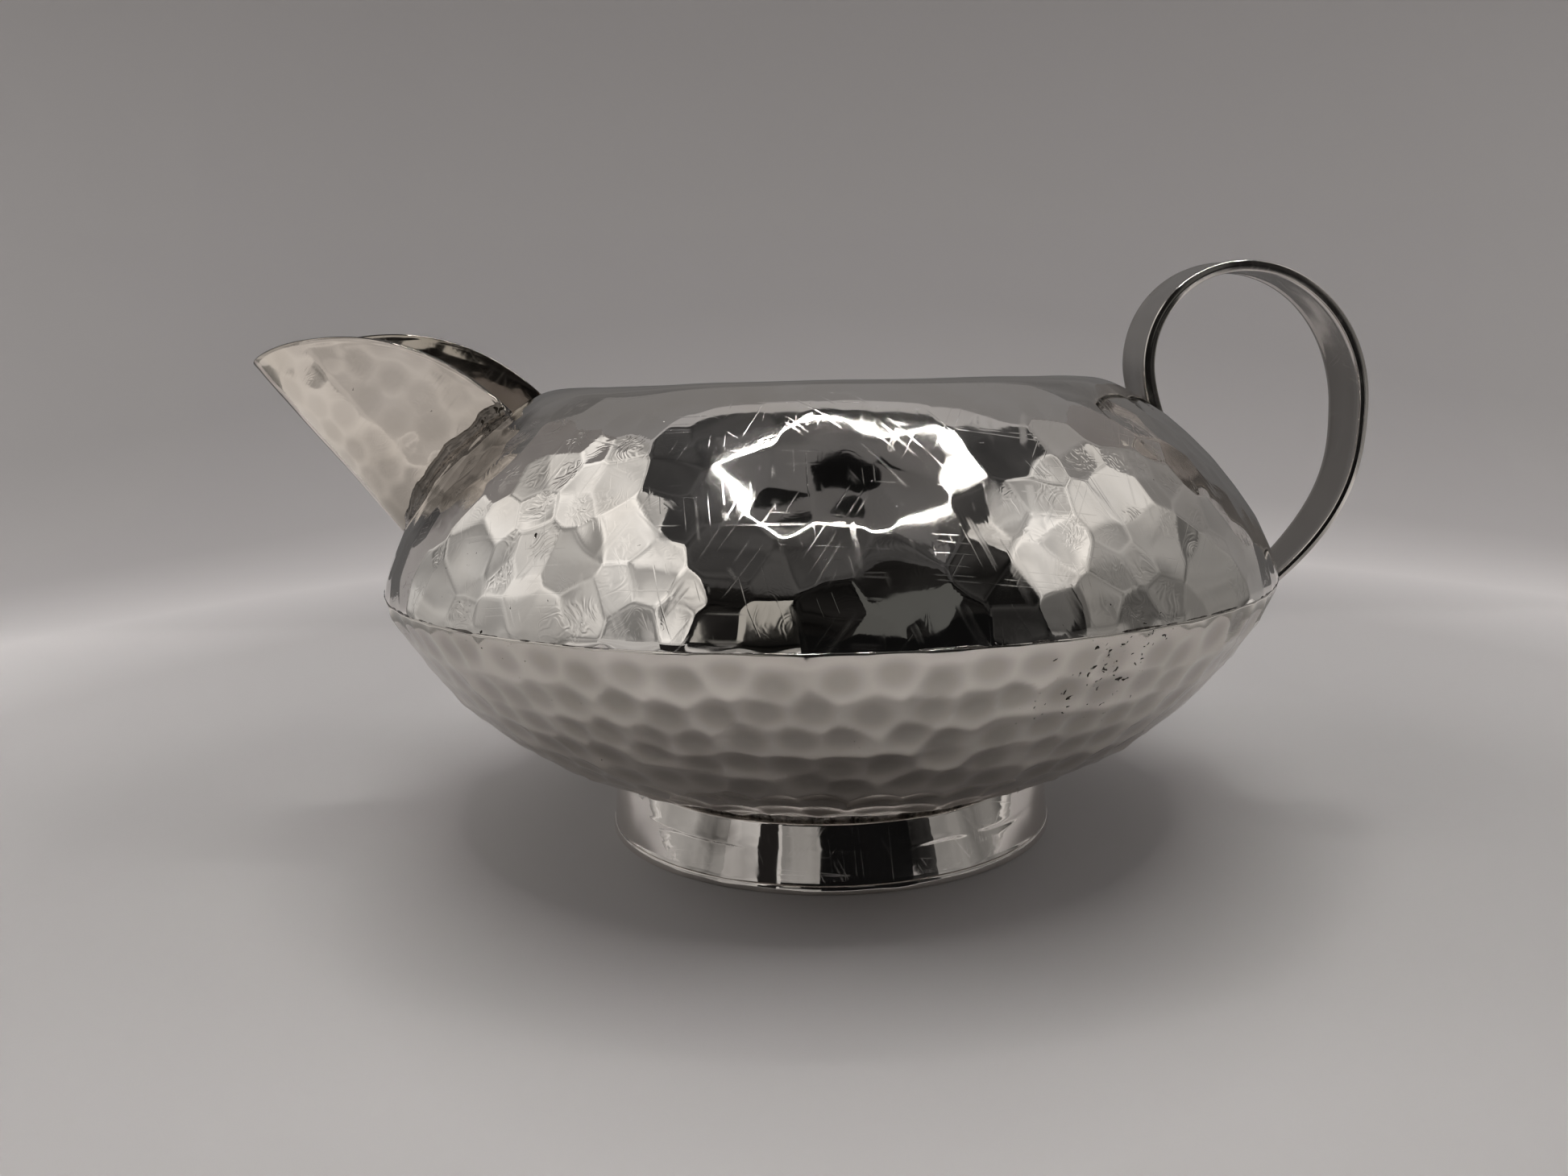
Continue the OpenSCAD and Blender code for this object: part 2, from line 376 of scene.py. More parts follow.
def make_bowl(material):
    prof = bowl_profile()
    line = resample(prof, 0.3)
    line[-1, 0] = 0.02
    cols = 1000
    T, S, R, Z, NR, NZ = surface_grid(line, cols)
    NR, NZ = -NR, -NZ                         # the line runs downwards, so this side is the outer one
    NR[-1], NZ[-1] = 0, -1
    length = S[-1, 0]
    hammer = RoundHammer(29, prof, 4.3, 2.6, 3.8, jitter=0.13, flat=10, spread=0.25, lean=0.02, deep=0.014)
    h, mark, painted_shade = hammer.field(T, S, R, 0.022)
    # the dishes stop at the waist's crease and inside the foot
    fade = smooth(S, -0.4, 1.6) * (1 - smooth(S, length - 22, length - 18))
    h = 0.85 * h * fade
    waves = slow_waves(5, 18.0, R * np.cos(T), R * np.sin(T), Z)
    h = h + 0.05 * waves * smooth(S, 0, 3) * (1 - smooth(S, length - 25, length - 18))
    outer = polar(R + NR * h, T, Z + NZ * h)
    inside = 0.5 * h - SHEET
    inner = polar(np.maximum(R + NR * inside, 0.02), T, Z + NZ * inside)[1:]
    rows = np.concatenate([inner[::-1], outer], 0)
    faces = grid_faces(len(rows), cols, True, flip=True)
    marks = np.concatenate([0.1 * mark[1:][::-1], 0.45 * mark], 0).ravel()
    # painted shade in the dishes, weaker on the inside face
    shade_values = np.concatenate([0.4 * painted_shade[1:][::-1], painted_shade * fade], 0).ravel()
    return new_piece("bowl", rows.reshape(-1, 3), faces, ["body_bowl"], material,
                     {"mark": marks, "painted_shade": shade_values})


def revolve(name, loop, cols, nodes, material, ripple, pull=None):
    """A closed (r, z) loop turned about the axis. ripple(points, z) shifts it along its normal, and
    pull(angle, z) along r."""
    n = len(loop)
    nrm = np.roll(loop, -1, 0) - np.roll(loop, 1, 0)
    nrm /= np.linalg.norm(nrm, axis=1)[:, None]
    nrm = np.stack([nrm[:, 1], -nrm[:, 0]], 1)
    area = 0.5 * np.sum(loop[:, 0] * np.roll(loop[:, 1], -1) - np.roll(loop[:, 0], -1) * loop[:, 1])
    if area < 0:
        nrm = -nrm
    T = np.repeat(np.arange(cols)[None, :] * TAU / cols, n, 0)
    R, Z = loop[:, :1] + 0 * T, loop[:, 1:] + 0 * T
    h = ripple(polar(R, T, Z).reshape(-1, 3), Z.ravel()).reshape(T.shape)
    shift = pull(T, Z) if pull else 0
    verts = polar(R + nrm[:, :1] * h + shift, T, Z + nrm[:, 1:] * h).reshape(-1, 3)
    faces = grid_faces(n + 1, cols, True, flip=area < 0) % (n * cols)
    return new_piece(name, verts, faces, nodes, material)


FOOT_TOP = 7.05          # upper edge of the foot's wall
FOOT_R = 26.15           # its radius at the table
FOOT_LEAN = 0.142        # how far the front and back are tipped in, per mm of height
FOOT_CREASE = 4.35       # height of the faint crease round the wall


def make_foot(material, solder):
    top = FOOT_TOP
    out = chain(bez([(24.45, top), (24.9, top), (25.2, top), (25.34, top - 0.02)], 5),
                bez([(25.34, top - 0.02), (25.5, top - 0.05), (25.54, top - 0.12), (25.56, top - 0.3)], 6),
                bez([(25.56, top - 0.3), (25.70, 4.9), (25.86, 3.1), (26.02, 1.2)], 48),
                bez([(26.02, 1.2), (26.06, 0.9), (26.12, 0.5), (FOOT_R, 0.05)], 5))
    inn = chain(bez([(FOOT_R, 0.05), (25.8, 0.0), (25.6, 0.0), (25.35, 0.05)], 4),
                bez([(25.35, 0.05), (25.15, 2.2), (24.9, 4.4), (24.75, top - 1.3)], 14),
                bez([(24.75, top - 1.3), (24.75, top - 0.95), (24.6, top - 0.8), (24.45, top - 0.8)], 6))
    slow, quick = Waves(41, 15.0), Waves(43, 5.0)

    def ripple(p, z):
        wall = smooth(z, 0.2, 0.9) * (1 - smooth(z, top - 0.25, top))
        wander = slow(p)
        crease = (0.008 + 0.010 * wander) * np.exp(-((z - FOOT_CREASE - 0.22 * wander) / 0.26) ** 2)
        return (crease + 0.020 * wander + 0.006 * quick(p)) * wall

    def pull(t, z):
        # the wall is tipped in towards its top, except at the far left and right
        sideways = np.abs(np.cos(t))
        lean = (FOOT_LEAN + 0.05 * smooth(sideways, 0.35, 0.7)) * (1 - smooth(sideways, 0.84, 0.985))
        return -lean * (z - 0.5) * smooth(z, 0.3, 1.2)

    loop = np.vstack([out, inn[1:]])[::-1]
    revolve("foot_band", loop, 620, ["foot_ring"], material, ripple, pull)
    # the wire: a rounded square that leans in with the wall
    a = np.radians(np.linspace(0, 360, 21)[:-1])
    wire_r = 25.86
    across, up = np.cos(a), np.sin(a)
    wire = np.stack([wire_r + 0.46 * np.sign(across) * np.abs(across) ** 0.35,
                     0.48 + 0.48 * np.sign(up) * np.abs(up) ** 0.6], 1)
    wire[:, 0] -= 0.19 * (wire[:, 1] - 0.1) * (wire[:, 0] > wire_r)
    wire_waves = Waves(47, 6.0)
    revolve("foot_bead", wire, 420, ["foot_wire"], material,
            lambda p, z: 0.02 * wire_waves(p) * smooth(z, 0.15, 0.5))
    # the bead of solder in the channel between bowl and foot; its near-black colour is painted shadow of the
    # gap under the bowl
    bead = np.stack([23.5 + 0.75 * across, 7.45 + 0.75 * up], 1)
    lumps, grains = Waves(53, 3.0), Waves(59, 1.0)
    revolve("foot_joint", bead, 520, ["foot_solder"], solder,
            lambda p, z: 0.06 * lumps(p) + 0.03 * grains(p))


def make_seam(material):
    a = np.radians(np.linspace(0, 360, 13)[:-1])
    loop = np.stack([WAIST_R - 0.10 + 0.12 * np.cos(a), WAIST_Z + 0.11 * np.sin(a)], 1)
    slow, quick = Waves(61, 7.0), Waves(67, 1.6)
    revolve("waist_line", loop, 1000, ["waist_seam"], material,
            lambda p, z: 0.025 * slow(p) + 0.02 * quick(p))


# ---------------- spout
def spout_body_hit(y, d):
    """Distance along the keel line at which a ruling of the spout reaches the body."""
    start = SPOUT_TIP + d * -KEEL_OUT
    for t in np.linspace(-30, 40, 701):
        x, z = start + t * KEEL_DIR
        skewed = z + SKEW * y
        if z <= RIM_Z + 0.5:
            radius = float(body_radius(np.array(min(skewed, RIM_Z - 0.3)))) + float(swell(x, y, skewed))
            if math.hypot(x, y) < radius:
                return t
    return 40.0


def dimples(seed, u, v, pitch):
    """Round shallow hammer marks strewn over a flat sheet, some barely touching."""
    rng = np.random.default_rng(seed)
    h = np.zeros(u.shape)
    mark = np.zeros(u.shape)
    row = 0
    for cv in np.arange(v.min() - pitch, v.max() + pitch, pitch * 0.88):
        row += 1
        for cu in np.arange(u.min() - pitch, u.max() + pitch, pitch):
            x = cu + (row % 2) * pitch / 2 + rng.normal(0, 0.45)
            y = cv + rng.normal(0, 0.45)
            size = rng.uniform(1.5, 1.9)
            deep = rng.uniform(0.02, 0.055)
            stretch = rng.uniform(0.85, 1.15)
            q = ((u - x) / size) ** 2 * stretch + ((v - y) / size) ** 2 / stretch
            h -= deep * np.exp(-q ** 2.0)
            mark = np.maximum(mark, np.exp(-q ** 2.5) * rng.uniform(0.35, 1.0))
    return h, mark


def spout_place(across, from_keel, along):
    """Points of the spout from its own three measures."""
    x = SPOUT_TIP[0] - from_keel * KEEL_OUT[0] + along * KEEL_DIR[0]
    z = SPOUT_TIP[1] - from_keel * KEEL_OUT[1] + along * KEEL_DIR[1] + SKEW * across
    return np.stack([x, across, z], -1)


SPOUT_SHEET = 0.62       # thickness of the spout near its edge
SPOUT_ROOT = 0.7         # how far the spout runs into the shoulder


def make_spout(material, fillet_mat):
    sec = spout_section()
    # distance from the keel and place along it of every point of the upper edge
    edge_line = SPOUT_EDGE - SPOUT_TIP
    edge_from_keel, edge_along = edge_line @ -KEEL_OUT, edge_line @ KEEL_DIR
    sec = sec[sec[:, 1] <= edge_from_keel[-1]]
    arc = arc_length(sec)
    half_n = int(arc[-1] / 0.28)
    a = np.linspace(-arc[-1], arc[-1], 2 * half_n + 1)
    half_width = np.interp(np.abs(a), arc, sec[:, 0]) * np.sign(a)
    from_keel = np.interp(np.abs(a), arc, sec[:, 1])
    tip_end = np.interp(from_keel, edge_from_keel, edge_along)
    join = np.array([spout_body_hit(y, d) for y, d in zip(half_width, from_keel)])
    # the section's outward normal, in (across, from keel)
    dy, dk = np.gradient(half_width), np.gradient(from_keel)
    ny, nk = dk / np.hypot(dy, dk), -dy / np.hypot(dy, dk)
    rows, cols = 96, len(a)
    q = np.linspace(0, 1, rows)[:, None]
    A = np.repeat(a[None, :], rows, 0)
    along = tip_end * (1 - q) + (join + SPOUT_ROOT) * q
    away = np.minimum(along - tip_end, 6)
    h, mark = dimples(71, A, along, 3.9)
    h = h * smooth(away, 0.1, 1.3) + 0.05 * slow_waves(73, 11.0, along, A, 0 * A) * smooth(away, 0, 3)

    def face(off):
        return spout_place(half_width + ny * off, from_keel + nk * off, along)

    edge_swell = 0.03 * np.exp(-((away - 0.3) / 0.35) ** 2)
    outer = face(h + edge_swell)
    inner = face(0.8 * h - SPOUT_SHEET - edge_swell * 0.6)
    # a rounded upper edge between the two faces
    mid, half = (outer[0] + inner[0]) / 2, (outer[0] - inner[0]) / 2
    outward = -np.array((KEEL_DIR[0], 0, KEEL_DIR[1])) * 0.16
    edge = np.array([mid + half * math.cos(turn) + outward * math.sin(turn)
                     for turn in np.radians(np.linspace(0, 180, 9)[1:-1])])
    grid = np.concatenate([inner[::-1], edge[::-1], outer], 0)
    n = len(grid)
    # close the two side edges at the root and the far end inside the body
    close = []
    for c in (0, cols - 1):
        for i in range(rows - 1):
            in1, in2 = (rows - 1 - i) * cols + c, (rows - 2 - i) * cols + c
            out1, out2 = (n - rows + i) * cols + c, (n - rows + i + 1) * cols + c
            close.append((in1, out1, out2, in2) if c == 0 else (in1, in2, out2, out1))
    tail = (n - 1) * cols
    close += [(j, tail + j, tail + j + 1, j + 1) for j in range(cols - 1)]
    faces = np.vstack([grid_faces(n, cols, False, flip=True), np.array(close)])
    edge_shape = (len(edge), cols)
    marks = np.concatenate([0.1 * mark[::-1], np.zeros(edge_shape), 0.3 * mark], 0).ravel()
    # painted shade in the dimples, and strong painted shade along the rounded upper edge
    shade_values = np.concatenate([0.5 * mark[::-1], np.full(edge_shape, 3.3), mark], 0).ravel()
    new_piece("spout_beak", grid.reshape(-1, 3), faces, ["spout"], material,
              {"mark": marks, "painted_shade": shade_values})
    normal = np.stack([nk * -KEEL_OUT[0], ny, nk * -KEEL_OUT[1]], 1)
    make_spout_fillet(spout_place(half_width, from_keel, join), normal, fillet_mat)


def make_spout_fillet(path, normal, material):
    """Solder along the join: a concave fillet on both sides and under the keel."""
    both = resample(np.hstack([path, normal]), 0.25)
    path, normal = both[:, :3], both[:, 3:]
    normal /= np.linalg.norm(normal, axis=1)[:, None]
    body_n = body_normal(path)
    length = arc_length(path)
    end = np.minimum(length, length[-1] - length)
    reach = 1.7 + 0.15 * Waves(79, 5.0)(path) + 0.03 * Waves(83, 1.5)(path)
    reach = (reach + 0.5 * np.exp(-(end / 3.0) ** 2))[:, None]
    rise = -np.array((KEEL_DIR[0], 0, KEEL_DIR[1])) + 0 * path
    spread = normal - body_n * np.sum(normal * body_n, 1)[:, None]
    spread /= np.linalg.norm(spread, axis=1)[:, None]
    on_body = path + spread * reach - body_n * 0.05
    on_spout = path + rise * reach * 0.9 - normal * 0.03
    corner = path + spread * 0.15 + rise * 0.10
    lumps = Waves(87, 2.6)
    rows = []
    for q in np.linspace(0, 1, 9):
        p = (1 - q) ** 2 * on_body + 2 * q * (1 - q) * corner + q * q * on_spout
        rows.append(p + (normal + body_n) * (0.02 * lumps(p) * math.sin(math.pi * q))[:, None])
    # the hidden back of the bead, inside the spout's wall and the shoulder
    rows += [path - normal * 0.5 + rise * 0.4, path - body_n * 0.6 - normal * 0.2,
             path + spread * 0.5 - body_n * 0.6]
    ring = np.array(rows).transpose(1, 0, 2)
    new_piece("spout_fillet", ring.reshape(-1, 3), capped_faces(*ring.shape[:2]), ["spout_solder"],
              material)


def body_normal(p):
    """Outward normals of the body near points p."""
    e = 0.05
    z = np.minimum(p[:, 2], RIM_Z - 0.4)
    slope = (body_radius(z + e) - body_radius(z - e)) / (2 * e)
    r = np.hypot(p[:, 0], p[:, 1])
    n = np.stack([p[:, 0] / r, p[:, 1] / r, -slope], 1)
    return n / np.linalg.norm(n, axis=1)[:, None]


def tube(name, path, size, sides, nodes, material, seed):
    """A bead of uneven thickness along a path, closed and rounded at both ends."""
    d = np.gradient(path, axis=0)
    d /= np.linalg.norm(d, axis=1)[:, None]
    side = np.cross(d, (0.3, 0.2, 1.0))
    side /= np.linalg.norm(side, axis=1)[:, None]
    other = np.cross(d, side)
    # the rings: a cap, the path itself and a cap
    caps, last = 5, len(path) - 1
    rise = np.sin(math.pi / 2 * np.arange(caps) / caps)
    narrow = np.maximum(rise, 0.02)
    at = np.concatenate([np.zeros(caps, int), np.arange(last + 1), np.full(caps, last)])
    past = np.concatenate([rise - 1, np.zeros(last + 1), (1 - rise)[::-1]])
    width = size[at] * np.concatenate([narrow, np.ones(last + 1), narrow[::-1]])
    middle = path[at] + d[at] * (size[at] * past)[:, None]
    turn = (np.arange(sides) * TAU / sides)[None, :, None]
    rings = np.cos(turn) * side[at][:, None, :] + np.sin(turn) * other[at][:, None, :]
    verts = (middle[:, None, :] + width[:, None, None] * rings).reshape(-1, 3)
    out = verts - np.repeat(middle, sides, 0)
    reach = np.linalg.norm(out, axis=1)
    bump = np.minimum(0.05 * Waves(seed, 0.9)(verts), 0.6 * reach)
    verts = verts + out * (bump / np.maximum(reach, 1e-6))[:, None]
    return new_piece(name, verts, capped_faces(len(at), sides), nodes, material)


# ---------------- handle
STRAP_CORNER = 0.19      # radius of the strap's long edges
OUTER, INNER = 0, 4      # parts of the strap's outline: its faces
SIDES = (2, 6)           # its two sides; the odd numbers are its corners


def band_outline(face_n, side_n, corner_n):
    """Once round a band: place across it and through it, each from -1 to 1, and the part of the outline."""
    spots, part = [], []
    runs = (((0, 1), (1, 0), face_n), ((1, 0), (0, -1), side_n),
            ((0, -1), (-1, 0), face_n), ((-1, 0), (0, 1), side_n))
    for k, (outward, onward, n) in enumerate(runs):
        turn = np.radians(np.linspace(90 - 90 * k, -90 * k, corner_n + 2)[1:-1])
        spots += [np.array(outward) + np.linspace(-1, 1, n)[:, None] * onward,
                  np.stack([np.cos(turn), np.sin(turn)], 1)]
        part += [2 * k] * n + [2 * k + 1] * corner_n
    across, through = np.vstack(spots).T
    return across, through, np.array(part)


def make_handle(material, solder):
    # the strap's outer face, from the shoulder over the top to just under the waist
    path = chain(bez([(38, 44.5), (36.8, 47.4), (35.8, 50.6), (35.8, 53)], 30),
                 bez([(35.8, 53), (35.8, 59.3), (40.4, 64.15), (46.6, 64.15)], 50),
                 bez([(46.6, 64.15), (54.6, 64.15), (61, 56.8), (61, 47.5)], 60),
                 bez([(61, 47.5), (61, 40.4), (60.6, 33.1), (43.5, 20.9)], 80))
    path = resample(path, 0.33)
    s = arc_length(path)
    q = s / s[-1]
    out = -line_normals(path)                    # away from the middle of the loop
    half = np.interp(q, [0, 0.25, 0.55, 0.8, 1], [4.9, 4.85, 4.5, 3.6, 2.8])
    half = half + 0.05 * Waves(91, 14.0)(np.stack([s, 0 * s, 0 * s], 1))
    thick = np.interp(q, [0, 0.5, 1], [1.31, 1.09, 0.8])
    # cross-section: a band with small rounded corners and softly raised edge lines
    u, w, part = band_outline(30, 4, 6)
    on_face, on_side = np.isin(part, (OUTER, INNER)), np.isin(part, SIDES)
    sign_u = np.where(np.isin(part, (1, 2, 3)), 1.0, -1.0)
    sign_w = np.where(np.isin(part, (0, 1, 7)), 1.0, -1.0)
    half_w, half_t = half[:, None], thick[:, None] / 2
    flat_w, flat_t = half_w - STRAP_CORNER, half_t - STRAP_CORNER
    across = np.where(on_face, u * flat_w, np.where(on_side, u * half_w, sign_u * flat_w + u * STRAP_CORNER))
    off = np.where(on_face, w * half_t, np.where(on_side, w * flat_t, sign_w * flat_t + w * STRAP_CORNER))
    to_edge = half_w - np.abs(across)
    bead = 0.07 * np.exp(-((to_edge - 0.8) / 0.32) ** 2)
    crown = -0.06 * np.clip(1 - (across / half_w) ** 2, 0, 1)
    pts = np.stack([s[:, None] + 0 * off, across, np.sign(off)], -1).reshape(-1, 3)
    ripple = (0.03 * Waves(93, 9.0)(pts) + 0.005 * Waves(95, 3.0)(pts)).reshape(off.shape)
    ripple = ripple * smooth(to_edge, 0.1, 1.4)
    # the path is the outer face, so the band lies half its thickness inside it
    off = off + np.where(on_face, np.sign(w) * (bead + crown) + ripple, 0) - half_t
    across = across + np.where(on_side, np.sign(u) * 0.12 * np.clip(1 - w ** 2, 0, 1), 0)
    x, z = path[:, :1] + out[:, :1] * off, path[:, 1:] + out[:, 1:] * off + SKEW * across
    verts = np.stack([x, across, z], -1)
    # painted shade: darker on the inner face, on the sides and at the upper end, where the strap meets the
    # shoulder
    dull = np.where(part == INNER, smooth(to_edge, 0.2, 1.0), np.where(on_side, 0.4, 0.0))
    dull = np.maximum(dull, 1.2 * (1 - smooth(s, 6.5, 10.5))[:, None] * np.where(on_face, 1.0, 0.8))
    new_piece("strap", verts.reshape(-1, 3), capped_faces(*off.shape), ["handle_strap"],
              material, {"painted_shade": dull.ravel()})
    for name, end, size, sunk, seed in (("upper", 0, 0.22, 0.21, 101), ("lower", -1, 0.30, 0.15, 103)):
        loop = strap_joint_line(end, path, out, half, thick)
        size = np.maximum(size + 0.05 * Waves(seed, 3.0)(loop), 0.15)
        tube("strap_joint_" + name, loop - sunk * body_normal(loop), size, 10, ["handle_solder_" + name],
             solder, seed + 1)


def strap_joint_line(end, path, out, half, thick):
    """The line where the strap's surface meets the body, at the strap's start (end 0) or finish (end -1)."""
    def leaves_body(x, y, z):
        return np.where(np.hypot(x, y) >= body_radius(z))[0][end]

    i = leaves_body(path[:, 0], 0, path[:, 1])
    loop = []
    for a in np.linspace(0, TAU, 90, endpoint=False):
        y = half[i] * min(1, max(-1, 1.25 * math.cos(a)))
        off = thick[i] / 2 * min(1, max(-1, 3 * math.sin(a)))
        fibre = path + out * (off - 0.5 * thick[:, None])
        z = fibre[:, 1] + SKEW * y
        k = leaves_body(fibre[:, 0], y, z)
        loop.append((fibre[k, 0], y, z[k]))
    loop = np.array(loop[-1:] + loop + loop[:1])
    for _ in range(3):
        loop[1:-1] = (loop[:-2] + 2 * loop[1:-1] + loop[2:]) / 4
    return loop


# ---------------- materials
def new_material(name, kind="ShaderNodeBsdfPrincipled"):
    """A material with one shader: the material, its nodes and the shader."""
    mat = bpy.data.materials.new(name)
    mat.use_nodes = True
    nt = mat.node_tree
    nt.nodes.clear()
    out = nt.nodes.new("ShaderNodeOutputMaterial")
    shader = nt.nodes.new(kind)
    nt.links.new(shader.outputs[0], out.inputs[0])
    return mat, nt, shader


def metal(name):
    mat, nt, shader = new_material(name)
    shader.inputs["Metallic"].default_value = 1.0
    return mat, nt, shader


def add_node(nt, kind, output, inputs=(), **settings):
    """A shader node's output. inputs: (name or place, value or link)."""
    n = nt.nodes.new("ShaderNode" + kind)
    for key, value in settings.items():
        setattr(n, key, value)
    for key, value in inputs:
        if isinstance(value, bpy.types.NodeSocket):
            nt.links.new(value, n.inputs[key])
        else:
            n.inputs[key].default_value = value
    return n.outputs[output]


def ramp(nt, source, stops):
    """A colour ramp with (place, grey or colour) stops."""
    n = nt.nodes.new("ShaderNodeValToRGB")
    e = n.color_ramp.elements
    while len(e) < len(stops):
        e.new(0.5)
    for el, (p, c) in zip(e, stops):
        el.position = p
        el.color = (c, c, c, 1) if isinstance(c, (int, float)) else (*c, 1)
    nt.links.new(source, n.inputs[0])
    return n.outputs[0]


def math_node(nt, op, a, b=None, clamp=False):
    inputs = enumerate((a,) if b is None else (a, b))
    return add_node(nt, "Math", 0, inputs, operation=op, use_clamp=clamp)


def times(nt, a, b, clamp=False):
    return math_node(nt, "MULTIPLY", a, b, clamp)


def plus(nt, a, b):
    return math_node(nt, "ADD", a, b)


def minus(nt, a, b, clamp=False):
    return math_node(nt, "SUBTRACT", a, b, clamp)


def attribute(nt, name):
    return add_node(nt, "Attribute", "Fac", attribute_name=name)


def bump(nt, bsdf, height):
    """Relief on the shader: height in tenths of a millimetre."""
    normal = add_node(nt, "Bump", 0, (("Strength", 1.0), ("Distance", 0.0001), ("Height", height)))
    nt.links.new(normal, bsdf.inputs["Normal"])


def mix_colour(nt, fac, a, b):
    a, b = ((*v, 1) if isinstance(v, tuple) else v for v in (a, b))
    return add_node(nt, "Mix", 2, (("Factor", fac), (6, a), (7, b)), data_type="RGBA")


def object_coords(nt):
    return add_node(nt, "TexCoord", "Object")


def noise(nt, vec, scale, detail=3.0, rough=0.55, distort=0.0):
    return add_node(nt, "TexNoise", "Fac", (("Scale", scale), ("Detail", detail), ("Roughness", rough),
                                            ("Distortion", distort), ("Vector", vec)))


def stretched(nt, vec, rot, scale):
    """Coordinates turned first and then stretched."""
    inputs = (("Rotation", rot), ("Scale", [1 / k for k in scale]), ("Vector", vec))
    return add_node(nt, "Mapping", 0, inputs, vector_type="TEXTURE")


def scratches(nt, vec, seed, width=0.035):
    """Fine straight scratches in several directions, 1 on a scratch."""
    total = None
    for i, (rx, ry, rz) in enumerate(((0.3, 0.7, 0.2), (1.2, 0.1, 0.9), (0.6, 1.9, 1.4), (2.2, 0.5, 2.6))):
        sheets = noise(nt, stretched(nt, vec, (rx + seed, ry, rz), (1700, 30, 30)), 0.55, 0.0)
        line = math_node(nt, "ABSOLUTE", minus(nt, sheets, 0.5))
        on = minus(nt, 1.0, math_node(nt, "DIVIDE", line, width), clamp=True)
        gate = ramp(nt, noise(nt, vec, 190 + 37 * i, 1.0), [(0.55, 0.0), (0.62, 1.0)])
        on = times(nt, on, gate)
        total = on if total is None else math_node(nt, "MAXIMUM", total, on)
    return total


def distance(nt, vec, point):
    return add_node(nt, "VectorMath", "Value", enumerate((vec, point)), operation="DISTANCE")


def near_point(nt, vec, point, reach):
    """1 at a point of the object, 0 beyond reach, all in metres."""
    return minus(nt, 1.0, math_node(nt, "DIVIDE", distance(nt, vec, point), reach), clamp=True)


# painted shade colour, mixed in where a mesh's shade values are high
PAINTED_SHADE_COLOUR = (0.16, 0.14, 0.12)
# colour of the dark patches round given points
DARK_PATCH_COLOUR = (0.10, 0.085, 0.075)
PIT = (0.03, 0.025, 0.02)


def silver(name, base, warm, rough, seed, curl=0.0, pits=(), scratch=0.3, grain=0.10, dim=0.0, dark_patches=()):
    """Polished, used silver: colour drifting warm, fine scratches, hammer marks, pits, dark patches and
    painted shade.

    pits and the dark patches hold (point, reach, strength). The "mark" values of a mesh carry the curled
    hammer marks, and its shade values say where shade is painted into the colour."""
    mat, nt, b = metal(name)
    vec = object_coords(nt)
    cloud = ramp(nt, noise(nt, vec, 70, 4.0, 0.6, 0.4), [(0.35, 0.0), (0.72, 1.0)])
    col = mix_colour(nt, cloud, base, warm)
    # painted shade: the colour darkens where the mesh's shade values are high, by dim
    if dim > 0:
        col = mix_colour(nt, times(nt, attribute(nt, "painted_shade"), dim, clamp=True), col, PAINTED_SHADE_COLOUR)
    # dark patches round given points, with mottled edges
    for point, reach, strength in dark_patches:
        edge = times(nt, near_point(nt, vec, point, reach), 3.2)
        edge = minus(nt, edge, times(nt, noise(nt, vec, 230, 2.0, 0.5, 1.0), 1.6), clamp=True)
        col = mix_colour(nt, times(nt, edge, strength), col, DARK_PATCH_COLOUR)
    # pits: dark specks where the plating has gone
    specks = noise(nt, vec, 1500, 1.5, 0.5, 0.8)
    limit = times(nt, ramp(nt, noise(nt, vec, 150, 2.0), [(0.60, 0.0), (0.72, 1.0)]), 0.05)
    for point, reach, strength in pits:
        limit = plus(nt, limit, times(nt, near_point(nt, vec, point, reach), strength))
    pit = times(nt, minus(nt, specks, minus(nt, 0.80, limit)), 30.0, clamp=True)
    nt.links.new(mix_colour(nt, pit, col, PIT), b.inputs["Base Color"])
    # roughness
    scratched = scratches(nt, vec, seed)
    dull = ramp(nt, noise(nt, vec, 120, 4.0), [(0.3, rough * 0.7), (0.75, rough * 1.6)])
    dull = plus(nt, dull, times(nt, scratched, 0.06 + 0.05 * scratch))
    nt.links.new(plus(nt, dull, times(nt, pit, 0.4)), b.inputs["Roughness"])
    # relief
    height = times(nt, noise(nt, vec, 260, 3.0, 0.5, 0.2), grain)
    height = minus(nt, height, times(nt, scratched, 0.011 * scratch))
    height = minus(nt, height, times(nt, pit, 0.12))
    if curl > 0:
        contours = math_node(nt, "SINE", times(nt, noise(nt, vec, 330, 1.6, 0.5, 1.2), 58.0))
        height = plus(nt, height, times(nt, times(nt, contours, attribute(nt, "mark")), curl))
    bump(nt, b, height)
    return mat


def solder_material(name, dark, light):
    """Dull, grainy solder between two colours."""
    mat, nt, b = metal(name)
    vec = object_coords(nt)
    grains = ramp(nt, noise(nt, vec, 700, 4.0, 0.65, 0.5), [(0.36, 0.0), (0.62, 1.0)])
    nt.links.new(mix_colour(nt, grains, dark, light), b.inputs["Base Color"])
    nt.links.new(ramp(nt, noise(nt, vec, 500, 3.0), [(0.3, 0.18), (0.8, 0.5)]), b.inputs["Roughness"])
    bump(nt, b, noise(nt, vec, 1100, 3.0))
    return mat


# ---------------- studio
def stage_mesh(name, verts, faces, material, camera=False, shadow=False):
    ob = mesh_object(name, verts, faces, material)
    ob.visible_camera = camera
    ob.visible_shadow = shadow
    return ob


